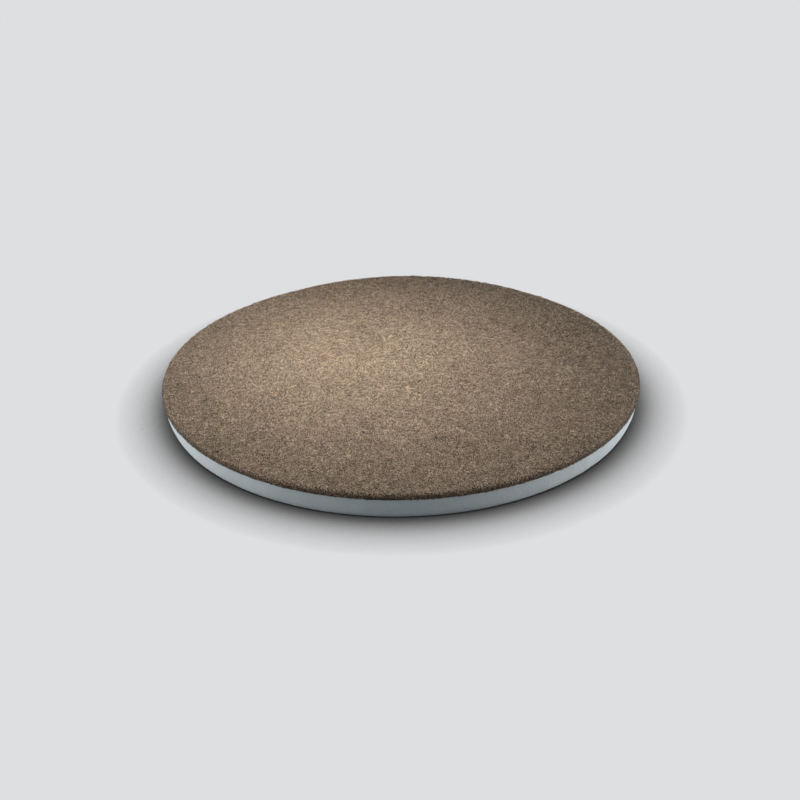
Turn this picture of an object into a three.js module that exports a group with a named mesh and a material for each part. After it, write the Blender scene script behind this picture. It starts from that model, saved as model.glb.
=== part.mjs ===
// A round floor polishing pad: a web of brown abrasive fibre bonded flat on a thicker disc of white melamine foam.
// Millimetres, +Z up. The origin is the centre of the foam's flat underside.
import * as THREE from "three";

// Sizes that can be set by themselves
const padDiameter = 508;
const fibreThickness = 6;
const fibreLipRadius = 3.5;
const foamThickness = 22;
const foamSetback = 1;
const foamHeelInset = 7;
const foamHeelHeight = 20;

// Fineness of the round surfaces
const turnSteps = 144;
const lipSteps = 5;
const heelSteps = 7;

// Sizes that follow
const fibreRadius = padDiameter / 2;
const foamRadius = fibreRadius - foamSetback;
const footRadius = foamRadius - foamHeelInset;

const fibreMaterial = new THREE.MeshStandardMaterial({
  color: new THREE.Color(0.24, 0.18, 0.13),
  roughness: 0.9,
  metalness: 0,
});
const foamMaterial = new THREE.MeshStandardMaterial({
  color: new THREE.Color(0.74, 0.78, 0.8),
  roughness: 0.85,
  metalness: 0,
});

// A quarter of an ellipse about (centreX, centreY), from one angle to another, as profile points.
function quarter(centreX, centreY, radiusX, radiusY, fromAngle, toAngle, steps) {
  const curve = new THREE.EllipseCurve(centreX, centreY, radiusX, radiusY, fromAngle, toAngle, false, 0);
  return curve.getPoints(steps);
}

// A solid of revolution about Z from a profile of radius and height that runs up the outside from axis to axis.
function turned(profile) {
  return new THREE.LatheGeometry(profile, turnSteps).rotateX(Math.PI / 2);
}

// The foam disc. Its wall stands upright below the bond, then curls in to a smaller flat foot.
function foamDisc() {
  const heelHeight = Math.min(foamHeelHeight, foamThickness);
  const heel = quarter(footRadius, heelHeight, foamHeelInset, heelHeight, -Math.PI / 2, 0, heelSteps);
  return turned([
    new THREE.Vector2(0, 0),
    ...heel,
    new THREE.Vector2(foamRadius, foamThickness),
    new THREE.Vector2(0, foamThickness),
  ]);
}

// The fibre web. Its lower edge is a clean cut and its upper edge is worn round.
function fibreWeb() {
  const lipRadius = Math.min(fibreLipRadius, fibreThickness);
  const lip = quarter(
    fibreRadius - lipRadius,
    fibreThickness - lipRadius,
    lipRadius,
    lipRadius,
    0,
    Math.PI / 2,
    lipSteps,
  );
  return turned([
    new THREE.Vector2(0, 0),
    new THREE.Vector2(fibreRadius, 0),
    ...lip,
    new THREE.Vector2(0, fibreThickness),
  ]);
}

const foam = new THREE.Mesh(foamDisc(), foamMaterial);
foam.name = "foam_disc";

const fibre = new THREE.Mesh(fibreWeb(), fibreMaterial);
fibre.name = "abrasive_fibre_web";
fibre.position.z = foamThickness;

const pad = new THREE.Group();
pad.add(foam, fibre);

export default pad;
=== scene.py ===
import math

import bpy
import numpy as np
from mathutils import Matrix, Vector


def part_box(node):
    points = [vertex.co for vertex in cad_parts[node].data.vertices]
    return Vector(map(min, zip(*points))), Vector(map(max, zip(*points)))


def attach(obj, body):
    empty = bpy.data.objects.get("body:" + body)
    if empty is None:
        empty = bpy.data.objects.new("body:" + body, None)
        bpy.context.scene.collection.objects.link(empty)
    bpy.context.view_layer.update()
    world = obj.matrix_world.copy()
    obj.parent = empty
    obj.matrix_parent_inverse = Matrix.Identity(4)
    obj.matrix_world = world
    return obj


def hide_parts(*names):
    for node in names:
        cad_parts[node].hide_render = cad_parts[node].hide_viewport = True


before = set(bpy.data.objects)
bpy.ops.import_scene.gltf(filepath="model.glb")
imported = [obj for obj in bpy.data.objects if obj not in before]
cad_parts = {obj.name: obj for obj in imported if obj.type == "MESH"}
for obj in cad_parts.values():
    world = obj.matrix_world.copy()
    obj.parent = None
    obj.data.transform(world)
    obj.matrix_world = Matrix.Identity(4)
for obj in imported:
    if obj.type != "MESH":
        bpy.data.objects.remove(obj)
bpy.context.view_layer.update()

# Sizes of the pad, in metres, from the frame

MM = 0.001
BODY = "root"
foam_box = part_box("foam_disc")
web_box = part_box("abrasive_fibre_web")
PAD_RADIUS = web_box[1][0]
FOAM_RADIUS = foam_box[1][0]
FOAM_TOP = foam_box[1][2]
WEB_TOP = web_box[1][2]

# Camera, fitted to the rim of the pad

CAMERA_DISTANCE = 1.0342
CAMERA_HEIGHT = 0.5461
CAMERA_PITCH = math.radians(28.513)
CAMERA_YAW = math.radians(-0.068)
CAMERA_ROLL = math.radians(-1.007)
SENSOR_WIDTH = 36.0
CAMERA_LENS = 48.06
CAMERA_SIGHT = 50.0


def make_camera():
    """The camera that looks along +Y, down at the pad."""
    data = bpy.data.cameras.new("camera")
    data.lens = CAMERA_LENS
    data.sensor_width = SENSOR_WIDTH
    data.clip_end = CAMERA_SIGHT
    camera = bpy.data.objects.new("camera", data)
    place = Matrix.Translation((0.0, -CAMERA_DISTANCE, CAMERA_HEIGHT))
    heading = Matrix.Rotation(-CAMERA_YAW, 4, "Z")
    tilt = Matrix.Rotation(math.pi / 2 - CAMERA_PITCH, 4, "X")
    roll = Matrix.Rotation(CAMERA_ROLL, 4, "Z")
    camera.matrix_world = place @ heading @ tilt @ roll
    bpy.context.collection.objects.link(camera)
    bpy.context.scene.camera = camera


make_camera()


# Shader sockets as Python values


class Shade:
    """An output of a shader node. Arithmetic on it adds Math nodes to the same material."""

    def __init__(self, tree, socket=None):
        self.tree = tree
        self.socket = socket

    def node(self, kind, settings=None, inputs=None, output=0):
        """Adds a node: its settings are made first, then its sockets are set or linked."""
        made = self.tree.nodes.new(kind)
        for name, value in (settings or {}).items():
            if name == "stops":
                set_stops(made.color_ramp, value)
            else:
                setattr(made, name, value)
        for name, value in (inputs or {}).items():
            if isinstance(value, Shade):
                self.tree.links.new(value.socket, made.inputs[name])
            else:
                made.inputs[name].default_value = value
        return Shade(self.tree, made.outputs[output] if made.outputs else None)

    def math(self, operation, *values):
        inputs = dict(enumerate(values))
        return self.node("ShaderNodeMath", {"operation": operation}, inputs)

    def __add__(self, other):
        return self.math("ADD", self, other)

    def __radd__(self, other):
        return self.math("ADD", other, self)

    def __sub__(self, other):
        return self.math("SUBTRACT", self, other)

    def __rsub__(self, other):
        return self.math("SUBTRACT", other, self)

    def __mul__(self, other):
        return self.math("MULTIPLY", self, other)

    def __rmul__(self, other):
        return self.math("MULTIPLY", other, self)

    def __abs__(self):
        return self.math("ABSOLUTE", self)

    def at_most(self, other):
        return self.math("MINIMUM", self, other)

    def at_least(self, other):
        return self.math("MAXIMUM", self, other)

    def within(self):
        """The value held between 0 and 1."""
        return self.at_least(0.0).at_most(1.0)


def set_stops(ramp, stops):
    """Gives a colour ramp its stops, as pairs of place and linear colour."""
    while len(ramp.elements) > 1:
        ramp.elements.remove(ramp.elements[-1])
    for index, (place, colour) in enumerate(stops):
        stop = ramp.elements[0] if index == 0 else ramp.elements.new(place)
        stop.position = place
        stop.color = (*colour, 1.0)


def ramp(value, stops):
    """The colour that a value picks from a colour ramp."""
    return value.node("ShaderNodeValToRGB", {"stops": stops}, {"Fac": value})


def mix_colours(factor, first, second):
    """A mix of two colours by a shader value; a plain colour is given as three numbers."""
    inputs = {0: factor, 6: full_colour(first), 7: full_colour(second)}
    return factor.node("ShaderNodeMix", {"data_type": "RGBA"}, inputs, 2)


def full_colour(colour):
    """A colour for a socket: a shader value as it is, or three numbers with full opacity."""
    return colour if isinstance(colour, Shade) else (*colour, 1.0)


def noise(place, size, detail=2.0, roughness=0.5, distortion=0.0):
    """Soft noise about 0.5, with features of about this size in metres."""
    inputs = {
        "Vector": place,
        "Scale": 1.0 / size,
        "Detail": detail,
        "Roughness": roughness,
        "Distortion": distortion,
    }
    return place.node("ShaderNodeTexNoise", {}, inputs)


def moved(place, shift=(0.0, 0.0, 0.0), turn=0.0, stretch=(1.0, 1.0, 1.0)):
    """The place for a pattern that is stretched, turned about the upright and shifted."""
    inputs = {"Vector": place, "Location": shift, "Rotation": (0.0, 0.0, turn), "Scale": stretch}
    return place.node("ShaderNodeMapping", {"vector_type": "TEXTURE"}, inputs)


def new_material(name):
    """A material, the start of its node tree, and its shader's sockets by name."""
    material = bpy.data.materials.new(name)
    material.use_nodes = True
    tree = material.node_tree
    shader = next(node for node in tree.nodes if node.type == "BSDF_PRINCIPLED")
    return material, Shade(tree), shader


def feed(shader, name, value):
    """Sets or links one socket of the material's shader."""
    socket = shader.inputs[name]
    if isinstance(value, Shade):
        value.tree.links.new(value.socket, socket)
    else:
        socket.default_value = value


def bump(height, strength, distance):
    """A bumped normal from a height between 0 and 1 that stands for this distance."""
    inputs = {"Height": height, "Strength": strength, "Distance": distance}
    return height.node("ShaderNodeBump", {}, inputs)


# Materials

# The first colour, near black, is painted shade between the strands and in the pits.
GAP_SHADE = (0.012, 0.006, 0.003)
DEEP_BROWN = (0.072, 0.044, 0.026)
WEB_BROWN = (0.280, 0.176, 0.107)
FIBRE_TAN = (0.660, 0.460, 0.300)
GRIT_PALE = (0.880, 0.690, 0.510)
RUSSET = (0.310, 0.190, 0.118)
OLIVE = (0.205, 0.180, 0.100)
GRAIN_SIZE = 0.95 * MM
CLUMP_SIZE = 4.5 * MM
PATCH_SIZE = 24.0 * MM
PATCH_TINT = 0.34
SPECK_SIZE = 0.7 * MM

FOAM_WHITE = (0.825, 0.845, 0.848)
FOAM_SHADE = (0.720, 0.742, 0.748)
# Painted shade for the larger pores of the foam.
PORE_SHADE = (0.300, 0.350, 0.390)
CELL_SIZE = 0.5 * MM
DIMPLE_SIZE = 2.6 * MM
CLOUD_SIZE = 30.0 * MM
PORE_SPACING = 9.0 * MM


def strand_lines(place, size, fineness, turn, length):
    """Thin wandering lines, 1 along a strand and 0 away from it, longer in the turned direction."""
    field = noise(moved(place, (turn, 0.3 * turn, 0.0), turn, (1.0, length, 1.0)), size, 1.0, 0.5, 0.6)
    return (1.0 - abs(field - 0.5) * fineness).within()


def web_strands(place):
    """Four layers of matted strands, the deeper ones fainter."""
    upper = strand_lines(place, 1.5 * MM, 14.0, 0.3, 2.6)
    second = strand_lines(place, 1.4 * MM, 13.0, 1.4, 2.4)
    third = strand_lines(place, 1.2 * MM, 12.0, 2.5, 2.0)
    lowest = strand_lines(place, 1.0 * MM, 10.0, 0.9, 1.6)
    return upper.at_least(second * 0.9).at_least(third * 0.75).at_least(lowest * 0.55)


def web_material():
    """Brown abrasive fibre, matted and bonded with resin, with painted shade in the dark gaps between the
    strands, in its pits and down its cut edge.
    """
    material, start, shader = new_material("abrasive fibre web")
    place = start.node("ShaderNodeTexCoord", {}, {}, "Object")
    painted_shade = start.node("ShaderNodeAttribute", {"attribute_name": "painted_shade"}, {}, "Fac")
    strands = web_strands(place)
    grain = noise(place, GRAIN_SIZE, 1.0)
    clumps = noise(place, CLUMP_SIZE)
    # Painted shade: this mark darkens the pits of the top and the cut edge.
    fullness = (grain - 0.5) * 5.2 + (clumps - 0.5) * 1.0 - painted_shade * 0.48 + 1.06
    height = strands * fullness.at_least(0.05) + (grain - 0.5) * 0.6
    # The near-black low end of this ramp is painted shade in the gaps between the strands.
    colour = ramp(
        height.within(),
        [(0.0, GAP_SHADE), (0.2, DEEP_BROWN), (0.5, WEB_BROWN), (0.8, FIBRE_TAN), (1.0, GRIT_PALE)],
    )
    patches = noise(moved(place, (0.7, 0.1, 0.0)), PATCH_SIZE, 2.0, 0.6)
    russet = ((patches - 0.52) * 3.2).within() * PATCH_TINT
    olive = ((0.48 - patches) * 3.2).within() * PATCH_TINT
    colour = mix_colours(russet, colour, RUSSET)
    colour = mix_colours(olive, colour, OLIVE)
    feed(shader, "Base Color", colour)
    feed(shader, "Roughness", 0.92 - strands * 0.22)
    feed(shader, "Specular IOR Level", 0.35)
    feed(shader, "Sheen Weight", 0.06)
    feed(shader, "Sheen Roughness", 0.5)
    feed(shader, "Normal", bump(height, 1.0, 1.0 * MM))
    return material


def strand_material():
    """Single strands on the web: each has its own tone, with specks of grit along it."""
    material, start, shader = new_material("abrasive strand")
    place = start.node("ShaderNodeTexCoord", {}, {}, "Object")
    tone = start.node("ShaderNodeAttribute", {"attribute_name": "tone"}, {}, "Fac")
    specks = noise(place, SPECK_SIZE, 2.0, 0.6)
    level = (tone + (specks - 0.5) * 1.6).within()
    colour = ramp(
        level,
        [(0.0, DEEP_BROWN), (0.4, WEB_BROWN), (0.8, FIBRE_TAN), (1.0, GRIT_PALE)],
    )
    feed(shader, "Base Color", colour)
    feed(shader, "Roughness", 0.72 - specks * 0.2)
    feed(shader, "Specular IOR Level", 0.4)
    feed(shader, "Sheen Weight", 0.1)
    feed(shader, "Normal", bump(specks, 0.5, 0.15 * MM))
    return material


def foam_material():
    """White melamine foam: matt, with fine open cells, faint dimples and clouds, and a few larger pores
    darkened by painted shade.
    """
    material, start, shader = new_material("melamine foam")
    place = start.node("ShaderNodeTexCoord", {}, {}, "Object")
    cells = noise(place, CELL_SIZE, 2.0, 0.7)
    dimples = noise(place, DIMPLE_SIZE, 2.0, 0.6)
    clouds = noise(place, CLOUD_SIZE)
    spots = place.node(
        "ShaderNodeTexVoronoi",
        {"feature": "F1"},
        {"Vector": place, "Scale": 1.0 / PORE_SPACING, "Randomness": 1.0},
    )
    pores = (1.0 - spots * 9.0).within() * ((clouds - 0.5) * 8.0).within()
    shade = ((cells - 0.5) * 0.9 + (dimples - 0.5) * 1.1 + (clouds - 0.5) * 0.8 + 0.42).within()
    colour = mix_colours(shade, FOAM_WHITE, FOAM_SHADE)
    # Painted shade: the larger pores are darkened.
    colour = mix_colours(pores, colour, PORE_SHADE)
    feed(shader, "Base Color", colour)
    feed(shader, "Roughness", 0.82 + cells * 0.14)
    feed(shader, "Specular IOR Level", 0.25)
    feed(shader, "Sheen Weight", 0.05)
    feed(shader, "Normal", bump(cells * 0.5 + dimples - pores, 0.7, 0.6 * MM))
    return material


# Relief in the mesh

LATTICE_CELLS = 256
SWAY_MIDDLE = math.radians(85.0)
SWAY_LIFT = 2.2 * MM
SWAY_DIP = 1.0 * MM
SWAY_WIDTH = math.radians(24.0)
SWAY_DIP_TURN = math.radians(46.0)


def eased(share):
    """A share from 0 to 1 that starts and ends gently."""
    return share * share * (3.0 - 2.0 * share)


def lattice_noise(x, y, size, seed):
    """Smooth noise from -1 to 1 over points x and y in metres, from a random lattice."""
    table = np.random.default_rng(seed).uniform(-1.0, 1.0, (LATTICE_CELLS, LATTICE_CELLS))
    column, row = x / size, y / size
    left, low = np.floor(column).astype(int), np.floor(row).astype(int)
    u, v = eased(column - left), eased(row - low)
    right, high = (left + 1) % LATTICE_CELLS, (low + 1) % LATTICE_CELLS
    left, low = left % LATTICE_CELLS, low % LATTICE_CELLS
    near = table[left, low] * (1.0 - u) + table[right, low] * u
    far = table[left, high] * (1.0 - u) + table[right, high] * u
    return near * (1.0 - v) + far * v


def web_relief(x, y):
    """How far the web's surface stands above or below its mean level, in metres."""
    return (
        0.36 * lattice_noise(x, y, 2.3 * MM, 1)
        + 0.24 * lattice_noise(x, y, 5.0 * MM, 2)
        + 0.20 * lattice_noise(x, y, 11.0 * MM, 3)
        + 0.22 * lattice_noise(x, y, 45.0 * MM, 4)
    ) * MM


def sway(x, y):
    """How far the limp pad lifts off its even shape: most at the rear rim, a little less beside that."""
    turn = np.arctan2(y, x) - SWAY_MIDDLE
    share = np.clip(np.hypot(x, y) / PAD_RADIUS, 0.0, 1.05) ** 4
    lift = SWAY_LIFT * np.exp(-((turn / SWAY_WIDTH) ** 2))
    left_dip = SWAY_DIP * np.exp(-(((turn - SWAY_DIP_TURN) / SWAY_WIDTH) ** 2))
    right_dip = SWAY_DIP * np.exp(-(((turn + SWAY_DIP_TURN) / SWAY_WIDTH) ** 2))
    return share * (lift - left_dip - right_dip)


# Meshes


def new_piece(name, points, faces, material, corner_map=None, marks=None):
    """A mesh object from points, faces of mixed size, a map of the corners and values at the points."""
    mesh = bpy.data.meshes.new(name)
    sizes = np.array([face.shape[1] for face in faces for _ in range(face.shape[0])], dtype=np.int32)
    corners = np.concatenate([face.ravel() for face in faces]).astype(np.int32)
    starts = np.concatenate([[0], np.cumsum(sizes)[:-1]]).astype(np.int32)
    mesh.vertices.add(len(points))
    mesh.vertices.foreach_set("co", np.asarray(points, dtype=np.float32).ravel())
    mesh.loops.add(len(corners))
    mesh.loops.foreach_set("vertex_index", corners)
    mesh.polygons.add(len(sizes))
    mesh.polygons.foreach_set("loop_start", starts)
    mesh.polygons.foreach_set("loop_total", sizes)
    mesh.polygons.foreach_set("use_smooth", np.full(len(sizes), True))
    if corner_map is not None:
        layer = mesh.uv_layers.new(name="OFBake")
        layer.data.foreach_set("uv", np.asarray(corner_map, dtype=np.float32).ravel())
    for label, values in (marks or {}).items():
        mark = mesh.attributes.new(label, "FLOAT", "POINT")
        mark.data.foreach_set("value", np.asarray(values, dtype=np.float32))
    mesh.update(calc_edges=True)
    mesh.validate()
    mesh.materials.append(material)
    piece = bpy.data.objects.new(name, mesh)
    bpy.context.collection.objects.link(piece)
    return piece


def ring_start(ring):
    """The number of points inside a ring of a disc whose ring k has 6k points."""
    return 0 if ring == 0 else 1 + 3 * ring * (ring - 1)


def disc_points(rings, radius):
    """The centre and the rings of an even disc."""
    places = [np.zeros((1, 2))]
    for ring in range(1, rings + 1):
        angle = np.arange(6 * ring) * (2.0 * math.pi / (6 * ring))
        reach = radius * ring / rings
        places.append(np.stack([np.cos(angle), np.sin(angle)], axis=1) * reach)
    return np.concatenate(places)


def disc_faces(rings):
    """The triangles of an even disc, seen from above as anticlockwise."""
    faces = []
    for ring in range(1, rings + 1):
        inner, outer = ring_start(ring - 1), ring_start(ring)
        inner_count, outer_count = max(6 * (ring - 1), 1), 6 * ring
        for sector in range(6):
            step = np.arange(ring)
            outer_near = outer + (sector * ring + step) % outer_count
            outer_next = outer + (sector * ring + step + 1) % outer_count
            inner_near = inner + (sector * (ring - 1) + step) % inner_count
            inner_next = inner + (sector * (ring - 1) + step + 1) % inner_count
            faces.append(np.stack([outer_near, outer_next, inner_near], axis=1))
            faces.append(np.stack([inner_near, outer_next, inner_next], axis=1)[:-1])
    return np.concatenate(faces)


def band_faces(first_row, rows, count):
    """Quads between rows of points that go round the pad."""
    step = np.arange(count)
    following = (step + 1) % count
    faces = []
    for row in range(rows - 1):
        near = first_row + row * count
        far = near + count
        faces.append(np.stack([far + step, far + following, near + following, near + step], axis=1))
    return np.concatenate(faces)


MAP_MIDDLE = 0.5
MAP_REACH = 0.495
CAP_MIDDLE = 0.92
CAP_REACH = 0.07


def round_map(points, travel, reach):
    """Places on the map for points round the axis, by the way along the profile from the centre."""
    angle = np.arctan2(points[:, 1], points[:, 0])
    share = MAP_REACH * travel / reach
    return np.stack([MAP_MIDDLE + share * np.cos(angle), MAP_MIDDLE + share * np.sin(angle)], axis=1)


def cap_map(points, radius):
    """Places in a corner of the map for the hidden flat face."""
    return CAP_MIDDLE + CAP_REACH * points[:, :2] / radius


def body_of_revolution(name, rings, flat_radius, profile, face_up, shape, material):
    """A closed round body: an even disc, a profile of rows round the side, and a flat cap."""
    disc = disc_points(rings, flat_radius)
    count = 6 * rings
    rim_angle = np.arange(count) * (2.0 * math.pi / count)
    start_height = profile[0][1]
    points = [np.column_stack([disc, np.full(len(disc), start_height)])]
    travel = [np.hypot(disc[:, 0], disc[:, 1])]
    way = flat_radius
    previous = profile[0]
    for radius, height in profile[1:]:
        way += math.hypot(radius - previous[0], height - previous[1])
        previous = (radius, height)
        ring = [np.cos(rim_angle) * radius, np.sin(rim_angle) * radius, np.full(count, height)]
        points.append(np.stack(ring, axis=1))
        travel.append(np.full(count, way))
    points = np.concatenate(points)
    travel = np.concatenate(travel)
    last_row = len(points) - count
    triangles = disc_faces(rings)
    quads = band_faces(ring_start(rings), len(profile), count)
    cap = (last_row + np.arange(count))[None, ::-1]
    if not face_up:
        triangles, quads, cap = triangles[:, ::-1], quads[:, ::-1], cap[:, ::-1]
    flat_map = round_map(points, travel, way)
    corner_map = [flat_map[face.ravel()] for face in (triangles, quads)]
    corner_map.append(cap_map(points, previous[0])[cap.ravel()])
    points, values = shape(points, travel)
    faces = [triangles, quads, cap]
    return new_piece(name, points, faces, material, np.concatenate(corner_map), values)


# The fibre web

WEB_RINGS = 172
WEB_LIP = 3.5 * MM
WEB_LIP_ROWS = 5
WEB_WALL_ROWS = 3
WEB_MEAN_DROP = 0.35 * MM
WEB_JITTER = 0.4 * MM
WEB_SEED = 11
# How strongly painted shade darkens the web's cut edge.
EDGE_SHADE = 1.4


def web_profile():
    """From the flat top over the worn lip and down the cut edge."""
    middle = PAD_RADIUS - WEB_LIP
    profile = []
    for angle in np.linspace(math.pi / 2, 0.0, WEB_LIP_ROWS + 1):
        profile.append((middle + WEB_LIP * math.cos(angle), WEB_TOP - WEB_LIP + WEB_LIP * math.sin(angle)))
    for height in np.linspace(WEB_TOP - WEB_LIP, FOAM_TOP, WEB_WALL_ROWS + 1)[1:]:
        profile.append((PAD_RADIUS, height))
    return profile


def shape_web(points, travel):
    """Roughens the web: pits and tufts on the top, a ragged cut edge, and painted shade in the pits and down
    the cut edge.
    """
    random = np.random.default_rng(WEB_SEED)
    x, y = points[:, 0].copy(), points[:, 1].copy()
    relief = web_relief(x, y)
    on_top = np.hypot(x, y) < PAD_RADIUS - WEB_LIP - 0.5 * MM
    jitter = random.uniform(-WEB_JITTER, WEB_JITTER, (len(points), 2))
    points[on_top, :2] += jitter[on_top]
    height = points[:, 2].copy()
    above_seam = np.clip((height - FOAM_TOP) / (2.0 * MM), 0.0, 1.0)
    points[:, 2] += (relief - WEB_MEAN_DROP) * above_seam + sway(x, y)
    beside = ~on_top
    angle = np.arctan2(y, x)
    ragged = 0.35 * lattice_noise(angle * PAD_RADIUS, height, 1.9 * MM, 6)
    ragged += 0.30 * lattice_noise(angle * PAD_RADIUS, height, 5.0 * MM, 7)
    out = np.where(beside, (ragged - 0.35) * MM, 0.0)
    points[:, 0] += np.cos(angle) * out
    points[:, 1] += np.sin(angle) * out
    # Painted shade: darker in the low pits of the top and, much more, down the cut edge.
    painted_shade = np.clip(0.5 - relief / (1.2 * MM), 0.0, 1.0)
    beneath = np.clip((WEB_TOP - 1.0 * MM - height) / (2.0 * MM), 0.0, 1.0)
    painted_shade = np.where(beside, painted_shade + (EDGE_SHADE - ragged) * beneath, painted_shade)
    return points, {"painted_shade": painted_shade}


def make_web(material):
    """The matted body of the web, which stands for the plain disc of the frame."""
    flat_radius = PAD_RADIUS - WEB_LIP
    piece = body_of_revolution("fibre_mat", WEB_RINGS, flat_radius, web_profile(), True, shape_web, material)
    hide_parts("abrasive_fibre_web")
    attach(piece, BODY)


# Strands on the web

STRAND_SIDES = 3
STRAND_WIDTHS = (0.22, 0.42)
STRAND_TONE = 0.50
TONE_SPREAD = 0.36
END_TAPER = 0.6
RIM_CLEARANCE = 1.2 * MM
LIP_SHADE_REACH = 2.4 * MM
LIP_SHADE_WIDTH = 1.5 * MM
LONG_STRANDS = 4450
LONG_STEPS = 7
LONG_LENGTHS = (8.0, 17.0)
LONG_SEED = 100
LOOP_PIECES = 2
LOOPS_A_PIECE = 7600
LOOP_STEPS = 4
LOOP_LENGTHS = (2.6, 6.5)
LOOP_SEED = 200


def flat_tracks(count, steps, lengths, crimps, random):
    """Crimped tracks across the web from evenly spread starts, in plan."""
    length = random.uniform(*lengths, count) * MM
    reach = PAD_RADIUS - 2.0 * MM
    radius = reach * np.sqrt(random.uniform(0.0, 1.0, count))
    around = random.uniform(0.0, 2.0 * math.pi, count)
    heading = random.uniform(0.0, 2.0 * math.pi, count)
    bend = random.normal(0.0, 2.0, count) / steps
    crimp = random.uniform(*crimps, count)
    phase = random.uniform(0.0, 2.0 * math.pi, count)
    waves = random.uniform(0.8, 2.2, count)
    x, y = radius * np.cos(around), radius * np.sin(around)
    track = []
    for index in range(steps + 1):
        track.append(np.stack([x, y], axis=1))
        turn = heading + bend * index + crimp * np.sin(2.0 * math.pi * waves * index / steps + phase)
        x = x + np.cos(turn) * length / steps
        y = y + np.sin(turn) * length / steps
    track = np.stack(track, axis=1)
    track -= track.mean(axis=1, keepdims=True) - track[:, :1]
    far = np.hypot(track[..., 0], track[..., 1])
    outer = PAD_RADIUS - RIM_CLEARANCE
    return track * np.where(far > outer, outer / np.maximum(far, 1e-6), 1.0)[..., None]


def laid_on_web(track, lift):
    """The tracks with their height: so far above the web's own rough surface, and down its lip."""
    far = np.hypot(track[..., 0], track[..., 1])
    level = WEB_TOP - WEB_MEAN_DROP + web_relief(track[..., 0], track[..., 1]) + lift
    over_lip = np.clip((far - (PAD_RADIUS - WEB_LIP)) / WEB_LIP, 0.0, 0.98)
    level -= WEB_LIP * (1.0 - np.sqrt(1.0 - over_lip**2))
    level += sway(track[..., 0], track[..., 1])
    return np.concatenate([track, level[..., None]], axis=2)


def strand_paths(count, random):
    """Long strands that lie on the web and dip into it."""
    track = flat_tracks(count, LONG_STEPS, LONG_LENGTHS, (0.25, 0.85), random)
    along = np.linspace(0.0, 1.0, LONG_STEPS + 1)
    waves = random.uniform(0.7, 1.9, count)[:, None]
    phase = random.uniform(0.0, 1.0, count)[:, None]
    dip = 0.30 * np.cos(2.0 * math.pi * (waves * along + phase))
    ends = -0.75 * (2.0 * np.abs(along - 0.5)) ** 4
    lift = random.uniform(0.02, 0.38, count)[:, None] + dip + ends
    return laid_on_web(track, lift * MM)


def loop_paths(count, random):
    """Short strands that rise out of the web and go back into it."""
    track = flat_tracks(count, LOOP_STEPS, LOOP_LENGTHS, (0.3, 1.1), random)
    along = np.linspace(0.0, 1.0, LOOP_STEPS + 1)
    arch = 1.0 - (2.0 * along - 1.0) ** 2
    rise = random.uniform(0.4, 1.4, count)[:, None]
    uneven = random.normal(0.0, 0.12, (count, LOOP_STEPS + 1))
    lift = rise * arch - 0.30 + uneven * arch
    return laid_on_web(track, lift * MM)


def tubes(paths, widths):
    """Closed thin tubes along the paths: points, quads, end triangles and their place on the map."""
    count, stations = paths.shape[:2]
    ahead = np.gradient(paths, axis=1)
    ahead /= np.linalg.norm(ahead, axis=2, keepdims=True)
    side = np.cross(ahead, np.array([0.0, 0.0, 1.0]))
    side /= np.maximum(np.linalg.norm(side, axis=2, keepdims=True), 1e-9)
    upper = np.cross(side, ahead)
    points = []
    for index in range(STRAND_SIDES):
        angle = 2.0 * math.pi * index / STRAND_SIDES + math.pi / 2
        ring = side * math.cos(angle) + upper * math.sin(angle)
        points.append(paths + ring * (0.5 * widths)[..., None])
    points = np.stack(points, axis=2).reshape(-1, 3)
    strand = np.arange(count)[:, None, None]
    station = np.arange(stations - 1)[None, :, None]
    place = np.arange(STRAND_SIDES)[None, None, :]
    following = (place + 1) % STRAND_SIDES
    base = strand * stations * STRAND_SIDES
    near = base + station * STRAND_SIDES
    far = near + STRAND_SIDES
    quads = np.stack([near + place, near + following, far + following, far + place], axis=-1)
    first = (base[:, :, 0] + np.arange(STRAND_SIDES)[None, ::-1]).reshape(count, STRAND_SIDES)
    last = (base[:, :, 0] + (stations - 1) * STRAND_SIDES + np.arange(STRAND_SIDES)[None, :])
    ends = np.concatenate([first, last.reshape(count, STRAND_SIDES)])
    return points, quads.reshape(-1, 4), ends, tube_map(count, stations)


def tube_map(count, stations):
    """One cell of the map for each strand, its sides one above another and its ends at the margin."""
    cells = math.ceil(math.sqrt(count))
    corner = np.stack([np.arange(count) % cells, np.arange(count) // cells], axis=1)
    strand = corner[:, None, None, None, :]
    station = np.arange(stations - 1)[None, :, None, None]
    place = np.arange(STRAND_SIDES)[None, None, :, None]
    along = station + np.array([0, 0, 1, 1])[None, None, None, :]
    across = place + np.array([0, 1, 1, 0])[None, None, None, :]
    along = 0.10 + 0.80 * np.broadcast_to(along, (1, stations - 1, STRAND_SIDES, 4)) / (stations - 1)
    across = 0.08 + 0.84 * np.broadcast_to(across, (1, stations - 1, STRAND_SIDES, 4)) / STRAND_SIDES
    sides = (strand + np.stack([along, across], axis=-1)) / cells
    tip = np.array([[0.02, 0.1], [0.08, 0.5], [0.02, 0.9]])
    tail = np.array([[0.98, 0.1], [0.92, 0.5], [0.98, 0.9]])
    first = (corner[:, None, :] + tip) / cells
    last = (corner[:, None, :] + tail) / cells
    return np.concatenate([sides.reshape(-1, 2), first.reshape(-1, 2), last.reshape(-1, 2)])


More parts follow.
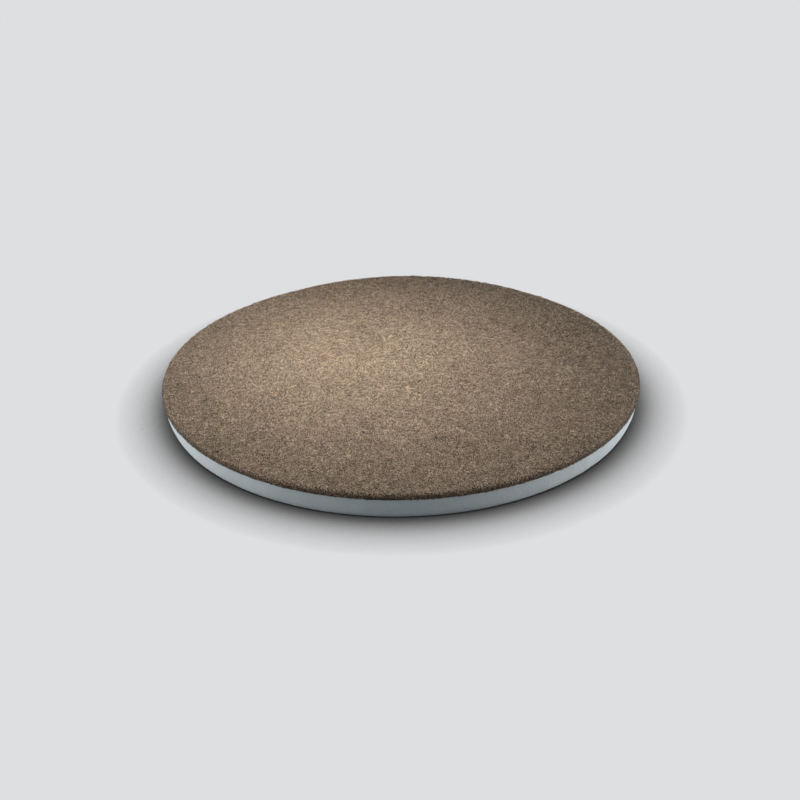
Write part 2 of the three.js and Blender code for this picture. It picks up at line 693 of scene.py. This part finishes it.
def make_strand_piece(name, paths, random, material, widths):
    """One piece of many strands, each with its own thickness and tone, with painted shade over the lip."""
    count, stations = paths.shape[:2]
    thickness = random.uniform(*widths, count)[:, None] * MM
    taper = np.ones(stations)
    taper[0] = taper[-1] = END_TAPER
    points, quads, ends, corner_map = tubes(paths, thickness * taper)
    tone = random.normal(STRAND_TONE, TONE_SPREAD, count)[:, None]
    far = np.hypot(paths[..., 0], paths[..., 1])
    # Painted shade: strands over the lip and round the cut edge are darkened.
    over_lip = np.clip((far - (PAD_RADIUS - LIP_SHADE_REACH)) / LIP_SHADE_WIDTH, 0.0, 1.0)
    tone = tone * (1.0 - over_lip) + (tone * 0.5 - 0.1) * over_lip
    tone = np.repeat(np.clip(tone, 0.0, 1.0).ravel(), STRAND_SIDES)
    piece = new_piece(name, points, [quads, ends], material, corner_map, {"tone": tone})
    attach(piece, BODY)
    return piece


def make_strands(material):
    """The long strands that lie on the web."""
    random = np.random.default_rng(LONG_SEED)
    paths = strand_paths(LONG_STRANDS, random)
    make_strand_piece("web_strands", paths, random, material, STRAND_WIDTHS)


def make_loops(material):
    """The short loops that stand out of the web, shared between pieces."""
    for index in range(LOOP_PIECES):
        random = np.random.default_rng(LOOP_SEED + index)
        paths = loop_paths(LOOPS_A_PIECE, random)
        make_strand_piece(f"web_loops_{index + 1}", paths, random, material, STRAND_WIDTHS)


EDGE_STRANDS = 3600
EDGE_STEPS = 4
EDGE_WIDTHS = (0.22, 0.40)
EDGE_SEED = 301


def edge_paths(count, random):
    """Short cut ends that lie along the web's edge, and a few that hang over the seam."""
    angle = random.uniform(0.0, 2.0 * math.pi, count)
    height = random.uniform(FOAM_TOP + 0.1 * MM, WEB_TOP - 1.2 * MM, count)
    slope = random.normal(0.0, 0.55, count)
    length = random.uniform(2.0, 7.0, count) * MM
    stand = random.uniform(-0.25, 0.35, count)
    way = np.linspace(-0.5, 0.5, EDGE_STEPS + 1)
    curl = random.normal(0.0, 0.8, count)[:, None] * (0.25 - way**2)
    along = way * length[:, None] * np.cos(slope)[:, None]
    up = way * length[:, None] * np.sin(slope)[:, None] + curl * length[:, None] * 0.4
    level = np.clip(height[:, None] + up, FOAM_TOP - 0.7 * MM, WEB_TOP - 0.6 * MM)
    drop = np.clip((level - (WEB_TOP - WEB_LIP)) / WEB_LIP, 0.0, 0.98)
    reach = PAD_RADIUS - WEB_LIP * (1.0 - np.sqrt(1.0 - drop**2))
    arch = 0.35 * (1.0 - (2.0 * way) ** 2) - 0.3
    reach = reach + (stand[:, None] + arch) * MM
    place = angle[:, None] + along / PAD_RADIUS
    x, y = reach * np.cos(place), reach * np.sin(place)
    return np.stack([x, y, level + sway(x, y)], axis=2)


def make_edge_strands(material):
    """The cut ends round the rim of the web."""
    random = np.random.default_rng(EDGE_SEED)
    paths = edge_paths(EDGE_STRANDS, random)
    make_strand_piece("edge_strands", paths, random, material, EDGE_WIDTHS)


# The foam disc

FOAM_RINGS = 110
FOAM_HEEL_INSET = 7.0 * MM
FOAM_HEEL_HEIGHT = 20.0 * MM
FOAM_HEEL_ROWS = 16
FOAM_WALL_ROWS = 4
FOAM_INSIDE = 0.15 * MM
FOAM_WAVE_START = 6.0 * MM


def foam_profile():
    """From the flat foot round the heel and up the wall to the seam."""
    foot = FOAM_RADIUS - FOAM_HEEL_INSET
    profile = []
    for angle in np.linspace(-math.pi / 2, 0.0, FOAM_HEEL_ROWS + 1):
        radius = foot + FOAM_HEEL_INSET * math.cos(angle)
        profile.append((radius, FOAM_HEEL_HEIGHT * (1.0 + math.sin(angle))))
    for height in np.linspace(FOAM_HEEL_HEIGHT, FOAM_TOP - FOAM_INSIDE, FOAM_WALL_ROWS + 1)[1:]:
        profile.append((FOAM_RADIUS, height))
    return profile


def shape_foam(points, travel):
    """A slightly wavy cut wall and an even underside."""
    angle = np.arctan2(points[:, 1], points[:, 0])
    wall = np.clip((travel - (FOAM_RADIUS - FOAM_HEEL_INSET)) / FOAM_WAVE_START, 0.0, 1.0)
    round_way = angle * FOAM_RADIUS
    wave = 0.22 * lattice_noise(round_way, points[:, 2], 16.0 * MM, 21)
    wave += 0.10 * lattice_noise(round_way, points[:, 2], 5.0 * MM, 22)
    out = (wave - 0.25) * wall * MM
    points[:, 2] += sway(points[:, 0], points[:, 1]) * points[:, 2] / FOAM_TOP
    points[:, 0] += np.cos(angle) * out
    points[:, 1] += np.sin(angle) * out
    return points, {}


def make_foam(material):
    """The foam under the web, which stands for the plain disc of the frame."""
    foot = FOAM_RADIUS - FOAM_HEEL_INSET
    piece = body_of_revolution("foam_body", FOAM_RINGS, foot, foam_profile(), False, shape_foam, material)
    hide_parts("foam_disc")
    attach(piece, BODY)


# Floor and light

FLOOR_LEVEL = -0.1 * MM
FLOOR_REACH = 1.2
FLOOR_SIDES = 96
FLOOR_AO_SAMPLES = 8
BACKGROUND_PALE = (0.730, 0.736, 0.745)
FLOOR_LIT = (0.20, 0.235, 0.255)
CONTACT_REACH = 0.055
BLACK = (0.0, 0.0, 0.0)
WORLD_LIT = (0.108, 0.121, 0.129)


def seen_directly(start):
    """1 for rays from the camera, for mirror rays and for rays through clear matter."""
    camera = start.node("ShaderNodeLightPath", {}, {}, "Is Camera Ray")
    glossy = start.node("ShaderNodeLightPath", {}, {}, "Is Glossy Ray")
    clear = start.node("ShaderNodeLightPath", {}, {}, "Is Transmission Ray")
    return (camera + glossy + clear).at_most(1.0)


def make_floor():
    """A plain pale floor, as pale as the background past it, with the pad's contact shadow painted in by
    ambient occlusion.
    """
    material, start, shader = new_material("floor")
    seen = seen_directly(start)
    feed(shader, "Base Color", mix_colours(seen, FLOOR_LIT, BLACK))
    settings = {"samples": FLOOR_AO_SAMPLES}
    # Painted contact shadow: ambient occlusion dims the floor's glow near the pad.
    openness = start.node("ShaderNodeAmbientOcclusion", settings, {"Distance": CONTACT_REACH}, "AO")
    shadowed_glow = seen * openness * openness * openness
    feed(shader, "Emission Color", mix_colours(shadowed_glow, BLACK, BACKGROUND_PALE))
    feed(shader, "Emission Strength", 1.0)
    feed(shader, "Roughness", 1.0)
    feed(shader, "Specular IOR Level", 0.0)
    angle = np.arange(FLOOR_SIDES) * (2.0 * math.pi / FLOOR_SIDES)
    level = np.full(FLOOR_SIDES, FLOOR_LEVEL)
    corners = np.stack([np.cos(angle) * FLOOR_REACH, np.sin(angle) * FLOOR_REACH, level], axis=1)
    floor = new_piece("floor", corners, [np.arange(FLOOR_SIDES)[None, :]], material)


def make_world():
    """Faint light from all round, pale where the camera looks past the floor."""
    world = bpy.data.worlds.new("studio")
    world.use_nodes = True
    bpy.context.scene.world = world
    tree = world.node_tree
    tree.nodes.clear()
    start = Shade(tree)
    seen = seen_directly(start)
    colour = mix_colours(seen, WORLD_LIT, BACKGROUND_PALE)
    light = start.node("ShaderNodeBackground", {}, {"Color": colour, "Strength": 1.0})
    start.node("ShaderNodeOutputWorld", {}, {"Surface": light})


STRIP_LENGTH = 1.5
STRIP_HEIGHT = 0.4
STRIP_COLOUR = (0.96, 1.00, 1.02)
STRIP_AIM = (0.0, 0.05, 0.01)
STRIP_LAMPS = [
    ("left strip", (-1.55, 0.22, 0.28), 17.5),
    ("right strip", (1.55, 0.30, 0.28), 20.2),
    ("front strip", (0.0, -1.75, 0.30), 1.7),
]
POOL_LAMP_HEIGHT = 1.6
POOL_SOFTNESS = 0.15
POOL_COLOUR = (1.00, 0.992, 0.93)
POOL_LAMPS = [
    ("small pool", (-0.09, 0.05), 0.17, 130.0),
    ("middle pool", (-0.02, 0.01), 0.26, 40.0),
    ("wide pool", (-0.02, -0.05), 0.32, 103.0),
]


def aim_lamp(name, data, place, aim):
    """Puts a lamp at a place, looking at a point."""
    lamp = bpy.data.objects.new(name, data)
    lamp.location = place
    direction = Vector(aim) - Vector(place)
    lamp.rotation_euler = direction.to_track_quat("-Z", "Y").to_euler()
    lamp.visible_camera = False
    bpy.context.collection.objects.link(lamp)


def add_strip_lamp(name, place, aim, power):
    """A long low soft lamp."""
    data = bpy.data.lights.new(name, "AREA")
    data.shape = "RECTANGLE"
    data.size = STRIP_LENGTH
    data.size_y = STRIP_HEIGHT
    data.energy = power
    data.color = STRIP_COLOUR
    aim_lamp(name, data, place, aim)


def add_pool_lamp(name, centre, reach, power):
    """A lamp high over the pad that lights a round pool with a soft edge."""
    data = bpy.data.lights.new(name, "SPOT")
    data.energy = power
    data.color = POOL_COLOUR
    data.shadow_soft_size = POOL_SOFTNESS
    data.spot_size = 2.0 * math.atan(reach / POOL_LAMP_HEIGHT)
    data.spot_blend = 1.0
    aim_lamp(name, data, (*centre, POOL_LAMP_HEIGHT), (*centre, 0.0))


def make_lamps():
    """Light from the sides and faintly from the front for the foam's wall, and pools of light on the fibre."""
    for name, place, power in STRIP_LAMPS:
        add_strip_lamp(name, place, STRIP_AIM, power)
    for name, centre, reach, power in POOL_LAMPS:
        add_pool_lamp(name, centre, reach, power)


web_finish = web_material()
strand_finish = strand_material()
make_web(web_finish)
make_strands(strand_finish)
make_loops(strand_finish)
make_edge_strands(strand_finish)
make_foam(foam_material())
make_floor()
make_world()
make_lamps()

bpy.context.scene.view_settings.view_transform = "Standard"
